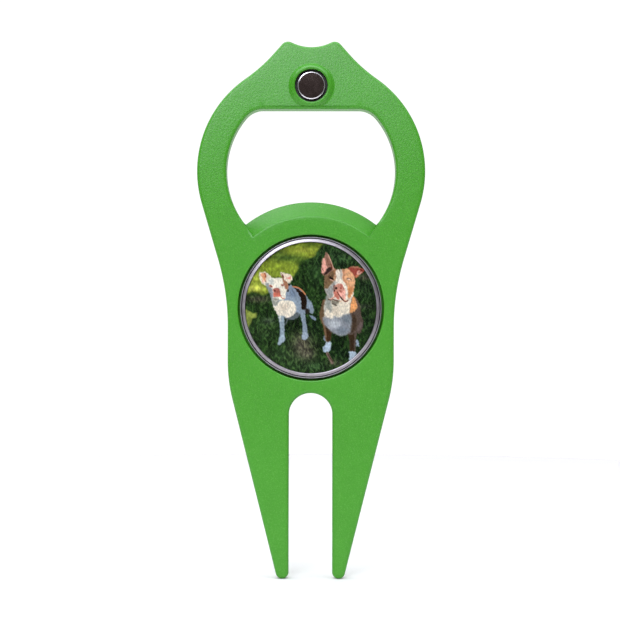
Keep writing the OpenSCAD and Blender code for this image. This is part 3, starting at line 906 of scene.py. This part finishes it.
# Painted shapes, back to front: colour, softness in thousandths and outline.
SHAPES = [
    # the dark dog's far paws, haunch and body
    ((128, 140, 152), 20, [190, -450, 220, -420, 245, -460, 240, -510, 200, -500]),
    ((164, 180, 196), 20, [690, -510, 710, -490, 735, -530, 740, -585, 725, -590, 710, -560, 700, -590,
        685, -570]),
    ((92, 77, 68), 20, [570, 120, 660, 180, 710, 120, 750, 40, 770, -100, 795, -180, 800, -260, 780, -340,
        740, -400, 710, -390, 695, -460, 690, -600, 680, -670, 600, -670, 595, -550, 580, -450, 560, -380,
        580, -250, 570, -50]),
    ((112, 96, 92), 50, [770, -220, 790, -260, 750, -340, 710, -360, 730, -280]),
    ((72, 56, 42), 40, [610, -100, 680, -120, 700, -250, 660, -360, 600, -360, 600, -200]),
    ((58, 42, 26), 25, [565, -380, 600, -420, 660, -400, 660, -550, 655, -660, 605, -660, 600, -550,
        585, -460]),
    ((130, 98, 70), 20, [190, 120, 155, 0, 130, -100, 145, -180, 180, -260, 205, -360, 235, -520,
        300, -520, 310, -400, 340, -340, 280, -240, 240, -100, 240, 100]),
    ((104, 84, 60), 40, [185, 60, 165, -20, 150, -120, 175, -200, 200, -100, 210, 40]),
    ((62, 42, 24), 25, [225, -270, 240, -400, 245, -510, 295, -520, 310, -400, 330, -350, 270, -280]),
    ((186, 202, 216), 20, [235, -520, 265, -530, 305, -510, 310, -570, 295, -650, 270, -680, 250, -665,
        230, -690, 195, -670, 187, -610, 215, -570]),
    ((150, 168, 184), 30, [200, -600, 225, -600, 215, -670, 190, -660]),
    ((182, 198, 212), 20, [585, -670, 620, -665, 680, -670, 697, -720, 660, -760, 640, -820, 583, -810,
        592, -730]),
    # its chest and shoulder
    ((242, 230, 208), 20, [215, 80, 200, -20, 205, -140, 220, -230, 260, -300, 320, -360, 390, -400,
        470, -420, 540, -400, 575, -370, 598, -330, 585, -280, 575, -220, 590, -120, 600, 0, 610, 100,
        655, 210, 620, 240, 400, 120, 270, 160]),
    ((146, 150, 156), 50, [190, -150, 260, -150, 330, -170, 360, -120, 410, -150, 470, -130, 610, -110,
        610, -340, 575, -390, 480, -430, 390, -410, 320, -370, 260, -310, 200, -240]),
    ((118, 127, 134), 80, [500, -120, 600, -120, 580, -240, 500, -200]),
    ((122, 131, 140), 80, [400, -300, 500, -300, 570, -330, 500, -400, 420, -380]),
    ((186, 190, 194), 80, [280, -190, 400, -190, 460, -260, 380, -320, 280, -280]),
    ((158, 160, 150), 40, [240, 190, 300, 130, 320, 30, 330, -50, 290, -60, 250, -10, 215, -60, 215, 80]),
    ((222, 208, 186), 60, [340, 20, 440, 0, 420, -100, 330, -100]),
    ((238, 166, 106), 25, [650, 180, 690, 100, 710, 20, 680, -40, 610, -80, 600, -40, 605, 40, 625, 120]),
    # its head: cheeks, blaze and muzzle
    ((232, 176, 130), 16, [335, 600, 380, 590, 450, 585, 520, 592, 570, 600, 640, 570, 665, 500, 675, 420,
        665, 330, 650, 250, 620, 190, 580, 135, 530, 100, 490, 110, 440, 90, 360, 100, 280, 130, 245, 200,
        215, 270, 205, 360, 210, 450, 220, 500, 270, 550]),
    ((214, 144, 92), 40, [570, 330, 610, 320, 650, 300, 640, 240, 600, 170, 575, 150, 565, 240]),
    ((206, 144, 108), 30, [485, 580, 520, 570, 520, 500, 510, 450, 550, 380, 520, 370, 485, 430]),
    ((122, 96, 68), 20, [212, 490, 260, 530, 310, 580, 385, 590, 390, 520, 385, 470, 370, 430, 335, 385,
        290, 340, 255, 285, 215, 300, 205, 380]),
    ((164, 116, 80), 30, [330, 585, 385, 585, 385, 510, 360, 520, 340, 550]),
    ((206, 158, 122), 20, [355, 500, 385, 500, 380, 450, 360, 420, 345, 450]),
    ((92, 70, 48), 30, [270, 490, 330, 490, 345, 450, 310, 420, 270, 440]),
    ((242, 232, 214), 18, [385, 575, 430, 583, 475, 580, 485, 520, 478, 460, 495, 415, 525, 370, 555, 320,
        562, 260, 565, 180, 570, 130, 540, 110, 500, 120, 440, 100, 360, 110, 280, 140, 250, 200,
        215, 280, 260, 290, 300, 340, 350, 390, 378, 440, 388, 500]),
    ((160, 160, 154), 35, [215, 280, 260, 295, 310, 355, 360, 410, 375, 375, 345, 320, 340, 250, 330, 170,
        280, 140, 250, 190]),
    ((196, 186, 174), 20, [450, 570, 475, 570, 475, 470, 460, 440, 450, 500]),
    ((140, 126, 112), 20, [425, 585, 450, 585, 440, 550]),
    ((248, 184, 166), 20, [400, 300, 450, 320, 500, 310, 525, 260, 532, 190, 528, 140, 500, 125, 460, 160,
        420, 200, 400, 250]),
    ((212, 126, 106), 20, [350, 260, 400, 250, 420, 190, 440, 145, 420, 130, 390, 150, 360, 180]),
    ((212, 148, 128), 20, [360, 335, 400, 362, 450, 372, 485, 345, 502, 290, 480, 245, 430, 240, 380, 245,
        350, 280, 345, 310]),
    ((196, 112, 98), 20, [440, 370, 475, 350, 500, 300, 475, 310, 450, 345]),
    ((118, 90, 84), 20, [340, 340, 370, 352, 365, 300, 362, 255, 340, 270]),
    ((20, 10, 10), 16, [370, 305, 385, 325, 402, 310, 395, 285, 378, 285]),
    ((138, 44, 40), 20, [440, 305, 457, 316, 472, 300, 457, 288]),
    ((70, 34, 32), 16, [345, 265, 360, 275, 368, 260, 355, 250]),
    ((188, 96, 84), 20, [430, 265, 455, 235, 480, 245, 460, 255]),
    ((140, 134, 118), 40, [310, 120, 380, 115, 440, 110, 400, 50, 370, 30, 330, 60]),
    # its ears
    ((156, 114, 94), 14, [235, 850, 265, 810, 300, 730, 330, 650, 355, 585, 310, 550, 250, 505, 200, 485,
        175, 520, 157, 560, 163, 640, 168, 710, 185, 750, 205, 775, 215, 820]),
    ((132, 92, 76), 30, [235, 770, 262, 740, 290, 660, 270, 640, 245, 690]),
    ((250, 182, 162), 16, [193, 757, 213, 740, 225, 680, 243, 640, 250, 600, 220, 565, 185, 527, 160, 545,
        167, 620, 175, 710]),
    ((118, 70, 58), 12, [172, 595, 182, 600, 192, 565, 180, 565]),
    ((52, 38, 34), 22, [248, 600, 280, 620, 318, 605, 300, 560, 260, 530, 205, 490, 205, 520, 228, 555]),
    ((112, 46, 28), 16, [298, 665, 312, 660, 325, 610, 310, 600]),
    ((160, 74, 62), 16, [565, 603, 600, 622, 660, 634, 720, 624, 780, 605, 818, 578, 800, 545, 760, 512,
        720, 483, 690, 460, 665, 480, 640, 520, 610, 560]),
    ((188, 128, 98), 16, [600, 622, 660, 636, 730, 624, 765, 600, 720, 603, 660, 612]),
    ((232, 178, 158), 14, [700, 510, 705, 550, 735, 575, 745, 560, 725, 540, 765, 545, 790, 550, 770, 530,
        730, 500]),
    ((108, 38, 28), 16, [750, 595, 790, 575, 770, 560, 750, 570]),
    ((218, 138, 96), 14, [690, 462, 720, 485, 725, 500, 700, 495, 683, 475]),
    # the white dog's body, saddle and legs
    ((132, 147, 166), 20, [-30, -110, 30, -125, 70, -150, 80, -180, 60, -195, 30, -180, 0, -145]),
    ((146, 160, 174), 18, [-360, 360, -320, 360, -270, 325, -180, 295, -80, 200, -35, 130, 10, 80, 40, 0,
        45, -60, 20, -95, -20, -70, -60, -50, -85, -100, -75, -200, -55, -300, -50, -380, -40, -430,
        -60, -470, -100, -490, -130, -460, -130, -400, -125, -300, -140, -200, -165, -100, -200, -140,
        -280, -180, -360, -160, -410, -150, -450, -110, -500, -120, -550, -20, -580, 60, -600, 120,
        -620, 200, -500, 300]),
    ((150, 164, 182), 50, [-50, 110, -20, 80, 20, 20, 0, -30, -40, 20]),
    ((120, 135, 154), 60, [-320, 330, -270, 280, -220, 200, -270, 160, -330, 220]),
    ((40, 34, 30), 25, [-85, 0, -60, -10, -30, -30, -20, -60, -50, -100, -80, -80]),
    ((34, 22, 14), 18, [-255, 312, -220, 298, -140, 250, -85, 200, -65, 130, -60, 60, -75, 0, -100, -30,
        -140, -20, -148, 60, -155, 130, -185, 200, -220, 260]),
    ((92, 100, 103), 35, [-220, -70, -170, -120, -220, -160, -330, -185, -420, -155, -330, -140]),
    ((150, 166, 176), 18, [-495, -130, -450, -120, -410, -150, -405, -280, -400, -420, -390, -500,
        -430, -530, -475, -570, -508, -565, -487, -480, -468, -400, -475, -280, -487, -200]),
    ((206, 208, 200), 30, [-490, -120, -455, -130, -460, -200, -480, -190]),
    ((170, 186, 198), 30, [-460, -430, -410, -430, -400, -500, -440, -520, -480, -550, -490, -510]),
    ((166, 180, 194), 20, [-115, -380, -80, -370, -45, -420, -60, -465, -100, -487, -135, -460,
        -128, -420]),
    ((244, 232, 211), 22, [-585, 60, -540, 20, -500, 80, -460, 110, -400, 115, -300, 100, -250, 60,
        -222, 0, -235, -70, -280, -120, -360, -155, -420, -125, -490, -120, -530, -70, -565, 0]),
    ((222, 206, 184), 50, [-470, 20, -400, 50, -340, 30, -380, -20, -440, -40]),
    ((160, 162, 150), 30, [-600, 120, -550, 130, -500, 120, -510, 50, -545, 30, -585, 60]),
    # its head and ears
    ((238, 224, 202), 16, [-790, 530, -760, 545, -680, 540, -640, 500, -600, 455, -630, 390, -670, 340,
        -730, 350, -765, 400, -785, 460]),
    ((242, 172, 126), 18, [-765, 520, -730, 532, -695, 510, -690, 440, -705, 400, -730, 430, -752, 470]),
    ((184, 96, 66), 18, [-720, 530, -690, 525, -685, 470, -700, 460, -710, 500]),
    ((246, 176, 156), 18, [-750, 420, -730, 420, -725, 390, -745, 395]),
    ((176, 130, 110), 14, [-700, 420, -685, 410, -680, 390, -695, 385]),
    ((244, 236, 217), 16, [-620, 450, -530, 453, -460, 460, -420, 430, -360, 380, -345, 330, -360, 270,
        -383, 220, -390, 150, -410, 125, -470, 115, -550, 100, -585, 130, -600, 200, -645, 250, -670, 320,
        -690, 360, -660, 420]),
    ((146, 151, 154), 30, [-690, 360, -650, 380, -630, 330, -595, 290, -580, 220, -580, 140, -600, 140,
        -620, 200, -655, 260]),
    ((216, 218, 208), 40, [-640, 440, -580, 440, -580, 360, -630, 370]),
    ((240, 222, 200), 16, [-457, 548, -410, 527, -340, 516, -300, 497, -283, 440, -300, 400, -325, 370,
        -370, 390, -410, 430, -440, 470, -465, 510]),
    ((124, 74, 60), 16, [-450, 530, -430, 510, -415, 465, -415, 435, -430, 450, -447, 490]),
    ((238, 152, 132), 20, [-385, 450, -345, 440, -310, 430, -308, 485, -340, 468]),
    ((176, 122, 90), 20, [-435, 440, -400, 420, -360, 385, -342, 330, -355, 285, -390, 290, -400, 330,
        -420, 370]),
    ((28, 22, 20), 16, [-350, 355, -330, 362, -318, 350, -340, 335]),
    ((34, 30, 28), 22, [-370, 275, -345, 280, -335, 255, -360, 245]),
    ((156, 90, 68), 14, [-463, 345, -435, 362, -405, 355, -410, 335, -445, 330]),
    ((226, 206, 196), 10, [-428, 353, -415, 355, -418, 343]),
    ((206, 118, 88), 14, [-635, 335, -610, 345, -585, 325, -610, 310]),
    ((84, 48, 40), 10, [-617, 330, -603, 335, -600, 318, -613, 316]),
    ((222, 122, 100), 18, [-570, 240, -520, 235, -475, 250, -460, 200, -465, 170, -520, 172, -568, 168]),
    ((178, 104, 90), 18, [-578, 275, -550, 297, -500, 297, -470, 270, -478, 235, -530, 230, -572, 245]),
    ((40, 22, 20), 12, [-562, 262, -550, 275, -538, 260, -552, 248]),
    ((150, 144, 132), 30, [-570, 145, -500, 135, -490, 120, -560, 110]),
]

# Painted strokes: colour, half width in thousandths and path.
STROKES = [
    ((214, 140, 92), 10, [-275, 322, -200, 308, -140, 268, -85, 205]),
    ((84, 90, 92), 12, [-355, -170, -370, -210, -385, -250]),
    ((216, 124, 96), 6, [-460, 170, -435, 145, -400, 137]),
    ((120, 50, 40), 8, [405, 240, 430, 195, 460, 155, 490, 120, 520, 97, 550, 100, 565, 115]),
    ((58, 30, 26), 9, [455, 160, 475, 135, 490, 120]),
    ((104, 72, 62), 9, [268, 128, 300, 120, 330, 135, 360, 120, 410, 108]),
    ((232, 160, 138), 9, [310, 135, 340, 155, 365, 170]),
    ((96, 86, 76), 10, [330, 65, 360, 50, 390, 35]),
    ((22, 18, 16), 13, [295, 465, 310, 450, 330, 440]),
    ((206, 160, 140), 8, [295, 430, 315, 425, 340, 410]),
    ((150, 104, 90), 8, [555, 445, 580, 450, 615, 430]),
    ((250, 226, 206), 8, [565, 435, 590, 432]),
    ((220, 170, 146), 7, [262, 810, 298, 730, 328, 650, 350, 585]),
    ((126, 106, 94), 22, [255, -700, 290, -770, 330, -840]),
    ((84, 62, 52), 8, [260, -700, 300, -770, 335, -820]),
]

STROKE_SOFT = 0.010
SHADED_GRASS = (28, 50, 21)
BLADE_TIP = (96, 118, 56)
SUNLIT_GRASS = (120, 136, 46)
PATCH_GRASS = (162, 174, 78)


def smooth_outline(outline, closed=True, pieces=5):
    """A curve through the points of an outline, in units of the disc's radius."""
    p = np.reshape(outline, (-1, 2)) / 1000
    if closed:
        p = np.concatenate([p[-1:], p, p[:2]])
    else:
        p = np.concatenate([[2 * p[0] - p[1]], p, [2 * p[-1] - p[-2]]])
    t = np.linspace(0, 1, pieces, endpoint=False)[None, :, None]
    a, b, c, d = (p[k:len(p) - 3 + k, None] for k in range(4))
    slope, bend, twist = c - a, 2 * a - 5 * b + 4 * c - d, 3 * b - a - 3 * c + d
    curve = (0.5 * (2 * b + slope * t + bend * t ** 2 + twist * t ** 3)).reshape(-1, 2)
    return curve if closed else np.concatenate([curve, p[-2:-1]])


def distance_to(points, path, closed):
    """Distance of each point to the nearest stretch of a path."""
    ends = np.roll(path, -1, axis=0) if closed else path[1:]
    nearest = np.full(len(points), np.inf)
    for start, end in zip(path, ends):
        along = end - start
        t = np.clip((points - start) @ along / max(along @ along, 1e-12), 0, 1)
        gap = points - start - t[:, None] * along
        nearest = np.minimum(nearest, (gap ** 2).sum(axis=1))
    return np.sqrt(nearest)


def coverage(points, path, soft, width=None):
    """0 to 1: how far points lie inside a closed path, or within width of an open one."""
    reach = soft + (width or 0)
    low, high = path.min(axis=0) - reach, path.max(axis=0) + reach
    near = ((points > low) & (points < high)).all(axis=1)
    out = np.zeros(len(points))
    close = points[near]
    gap = distance_to(close, path, width is None)
    depth = np.where(inside(close, path), gap, -gap) if width is None else width - gap
    t = np.clip(0.5 + depth / soft, 0, 1)
    out[near] = t * t * (3 - 2 * t)
    return out


def value_noise(points, scale, seed):
    """Smooth noise from 0 to 1. scale is the number of cells per unit in u and v."""
    cells = 256
    grid = np.random.default_rng(seed).random((cells, cells))
    offset = 100
    p = points * np.array(scale) + offset
    cell = np.floor(p).astype(int)
    f = p - cell
    f = f * f * (3 - 2 * f)
    x, y = cell[:, 0] % (cells - 1), cell[:, 1] % (cells - 1)
    low = grid[x, y] * (1 - f[:, 0]) + grid[x + 1, y] * f[:, 0]
    high = grid[x, y + 1] * (1 - f[:, 0]) + grid[x + 1, y + 1] * f[:, 0]
    return low * (1 - f[:, 1]) + high * f[:, 1]


def blades(points, seed):
    """Grass: long thin noise that leans three ways."""
    layers = []
    for k, lean in enumerate((-0.5, 0.1, 0.6)):
        turned = np.stack([points[:, 0] + lean * points[:, 1], points[:, 1] - lean * points[:, 0]], axis=1)
        layers.append(value_noise(turned, (46, 17), seed + k))
    return np.clip((np.maximum.reduce(layers) - 0.35) / 0.6, 0, 1) ** 2


def add_spots(colour, points, spots):
    """Lays soft elliptical spots over the colours."""
    for u, v, half_u, half_v, ink, strength in spots:
        reach = (points - np.array((u, v))) / np.array((half_u, half_v))
        colour = lay(colour, ink, strength * np.exp(-1.5 * (reach ** 2).sum(axis=1)))
    return colour


def lay(colour, ink, share):
    """The colours, covered by an ink as far as share says."""
    return colour + (np.array(ink, float) - colour) * share[:, None]


def paint_ground(points):
    """Shaded grass, with sunlit grass at the upper left and a small lit patch at the left."""
    colour = add_spots(np.tile(np.array(SHADED_GRASS, float), (len(points), 1)), points, GROUND_SPOTS)
    grass = blades(points, 3)
    clumps = value_noise(points, (11, 11), 9)
    colour *= (0.45 + 0.90 * grass + 0.40 * clumps)[:, None]
    colour = lay(colour, BLADE_TIP, 0.30 * grass ** 2)
    lit = add_spots(np.tile(np.array(SUNLIT_GRASS, float), (len(points), 1)), points, SUN_SPOTS)
    lit *= (0.72 + 0.36 * blades(points, 23) + 0.28 * value_noise(points, (16, 30), 29))[:, None]
    ragged = points + 0.03 * (np.stack([grass, clumps], axis=1) - 0.5)
    sunlit = coverage(ragged, smooth_outline(SUNLIT), 0.05)
    patch = coverage(ragged, smooth_outline(SUN_PATCH), 0.03)
    colour += (lit - colour) * sunlit[:, None]
    return lay(colour, PATCH_GRASS, patch * (0.65 + 0.35 * grass))


def paint_print(u, v):
    """Linear colours of the printed picture, two dogs on grass, at disc coordinates u right and v up."""
    points = np.stack([u, v], axis=1)
    colour = paint_ground(points)
    fur = np.stack([value_noise(points, (60, 60), 41), value_noise(points, (60, 60), 43)], axis=1) - 0.5
    hairy = points + 0.016 * fur
    ground = colour.copy()
    for ink, soft, outline in SHAPES:
        colour = lay(colour, ink, coverage(hairy, smooth_outline(outline), soft / 1000))
    for ink, width, path in STROKES:
        stroke = smooth_outline(path, closed=False)
        colour = lay(colour, ink, coverage(points, stroke, STROKE_SOFT, width / 1000))
    # The coat's mottling goes only where the ground is painted over.
    painted_over, mottling, darkening = 30, 0.36, 0.06
    on_dog = np.clip(np.abs(colour - ground).sum(axis=1) / painted_over, 0, 1)
    coat = value_noise(points, (90, 44), 51) * 0.75 + value_noise(points, (30, 30), 53) * 0.25 - 0.5
    colour *= (1 + (mottling * coat - darkening) * on_dog)[:, None]
    share = np.clip(colour / 255, 0, 1)
    return np.where(share < 0.04045, share / 12.92, ((share + 0.055) / 1.055) ** 2.4)


def make_print():
    """The printed disc, a fine mesh whose vertices carry the picture's colours."""
    parts = MeshParts()
    low, high = PRINT["h"]
    step, rim_points, rim_clear = 0.09, 384, 0.6
    top = parts.add(circle_points(MARKER_Z, PRINT_R, rim_points), high)
    bottom = parts.add(circle_points(MARKER_Z, PRINT_R, rim_points), low)
    parts.bridge(top, bottom)
    parts.cap(bottom, MARKER_Z, low)
    side = np.linspace(-PRINT_R, PRINT_R, math.ceil(2 * PRINT_R / step))
    gx, gz = np.meshgrid(side, side + MARKER_Z)
    grid = np.stack([gx.ravel(), gz.ravel()], axis=1)
    grid = grid[np.hypot(grid[:, 0], grid[:, 1] - MARKER_Z) < PRINT_R - step * rim_clear]
    parts.fill([top], [], parts.add(grid, high), [])
    disc = parts.mesh("marker_print", weighted=False)
    co = np.empty(len(disc.data.vertices) * 3)
    disc.data.vertices.foreach_get("co", co)
    co = co.reshape(-1, 3) / MM
    colours = paint_print(co[:, 0] / PRINT_R, (co[:, 2] - MARKER_Z) / PRINT_R)
    ink = disc.data.color_attributes.new("ink", "FLOAT_COLOR", "POINT")
    rgba = np.concatenate([colours, np.ones((len(colours), 1))], axis=1)
    ink.data.foreach_set("color", rgba.astype(np.float32).ravel())
    return disc


# ---------------------------------------------------------------- camera, light and floor
# Lengths are in metres here. A light is its name, place, width, height and power in watts.
CAMERA_DISTANCE = 0.300
CAMERA_X = -0.00015
CAMERA_Z = 0.0475
CAMERA_ROLL = math.radians(-0.12)
VIEW_W = 0.10943
SENSOR_W = 36
WHITE = (1, 1, 1, 1)
ROOM_LIGHT = 0.22
BACK_LIGHT = 0.9
BACKDROP = 1.1
LIGHT_COLOUR = (0.95, 0.97, 1.08)
LIGHT_AIM = Vector((0, 0, 0.05))
LIGHTS = [
    ("key", (-0.22, -0.93, 0.64), 0.6, 0.45, 7.9),
    ("overhead", (-0.015, -0.05, 0.55), 1.1, 0.4, 4.5),
]
FLOOR_R = 0.26


def link(name, data):
    """A new object in the scene."""
    obj = bpy.data.objects.new(name, data)
    bpy.context.scene.collection.objects.link(obj)
    return obj


def make_camera():
    """In front of the tool, at the height of the marker's centre."""
    data = bpy.data.cameras.new("camera")
    data.sensor_width = SENSOR_W
    data.lens = SENSOR_W * CAMERA_DISTANCE / VIEW_W
    data.clip_start = 0.01
    camera = link("camera", data)
    camera.location = (CAMERA_X, -CAMERA_DISTANCE - FACE_H * MM, CAMERA_Z)
    camera.rotation_euler = (math.radians(90), CAMERA_ROLL, 0)
    bpy.context.scene.camera = camera


def make_world():
    """White behind the tool as the camera sees it, and a room that is dim in front and brighter behind."""
    scene = bpy.context.scene
    scene.view_settings.view_transform = "Standard"
    world = bpy.data.worlds.new("studio")
    world.use_nodes = True
    tree = world.node_tree
    way = add_node(tree, "TexCoord").outputs["Generated"]
    split = add_node(tree, "SeparateXYZ", {"Vector": way})
    rise = add_node(tree, "MapRange", {
        "Value": split.outputs["Y"], "From Min": 0.0, "From Max": 0.5, "To Min": ROOM_LIGHT,
        "To Max": BACK_LIGHT})
    room = tree.nodes["Background"]
    connect(tree, room, {"Color": WHITE, "Strength": rise.outputs["Result"]})
    backdrop = add_node(tree, "Background", {"Color": WHITE, "Strength": BACKDROP})
    rays = add_node(tree, "LightPath")
    mix = add_node(tree, "MixShader", {
        "Fac": rays.outputs["Is Camera Ray"],
        1: room.outputs["Background"],
        2: backdrop.outputs["Background"]})
    connect(tree, tree.nodes["World Output"], {"Surface": mix.outputs["Shader"]})
    scene.world = world


def make_lights():
    for name, place, width, height, power in LIGHTS:
        data = bpy.data.lights.new(name, "AREA")
        data.shape = "RECTANGLE"
        data.size = width
        data.size_y = height
        data.energy = power
        data.color = LIGHT_COLOUR
        light = link(name, data)
        light.location = place
        light.rotation_euler = (LIGHT_AIM - Vector(place)).to_track_quat("-Z", "Y").to_euler()


def make_floor():
    """A pale round table top."""
    rim = [(x, y, 0) for x, y in circle_points(0, FLOOR_R, 96)]
    data = bpy.data.meshes.new("floor")
    data.from_pydata(rim, [], [tuple(range(len(rim)))])
    floor = link("floor", data)
    material, tree, shader = new_material("pale floor")
    connect(tree, shader, {"Base Color": (0.80, 0.79, 0.77, 1), "Roughness": 0.8})
    dress(floor, material)


make_camera()
body = dress(make_body(), powder_coat())
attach(body, "tool")
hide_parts("tool_body")

coin = dress(make_marker_coin(), turned_metal("plated steel", MARKER_Z, COIN_R, COIN_RINGS, 0.38))
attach(coin, "marker")
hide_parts("marker_base")

cover = dress(make_cover(), clear_cover_material())
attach(cover, "marker")
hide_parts("clear_dome")

picture = dress(make_print(), printed_material())
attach(picture, "marker")
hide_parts("print_disc")

# The cap magnet's face is painted dark as a reflection, and its chamfer is painted bright as a highlight.
cap = dress(make_magnet("cap_magnet_disc", CAP_MAGNET, CAP_Z),
            turned_metal("nickel with painted dark reflection", CAP_Z, CAP_MAGNET_R, CAP_RINGS, 0.22))
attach(cap, "tool")
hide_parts("cap_magnet")

# The marker magnet's chamfer is painted bright as a highlight.
under = dress(make_magnet("marker_magnet_disc", MARKER_MAGNET, MARKER_Z),
              turned_metal("nickel with painted highlight ring", MARKER_Z, MARKER_MAGNET_R, UNDER_RINGS, 0.25))
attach(under, "tool")
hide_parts("marker_magnet")

# The cap magnet's glue is a real piece; its near-black colour is painted shade for the gap round the magnet.
dress(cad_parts["cap_magnet_glue"], glue("epoxy glue painted black as gap shade", (0.005, 0.007, 0.005)))
dress(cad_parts["marker_magnet_glue"], glue("clear epoxy glue", (0.55, 0.55, 0.45)))
dress(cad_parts["print_adhesive"], glue("adhesive film", (0.6, 0.6, 0.55)))

make_world()
make_lights()
make_floor()
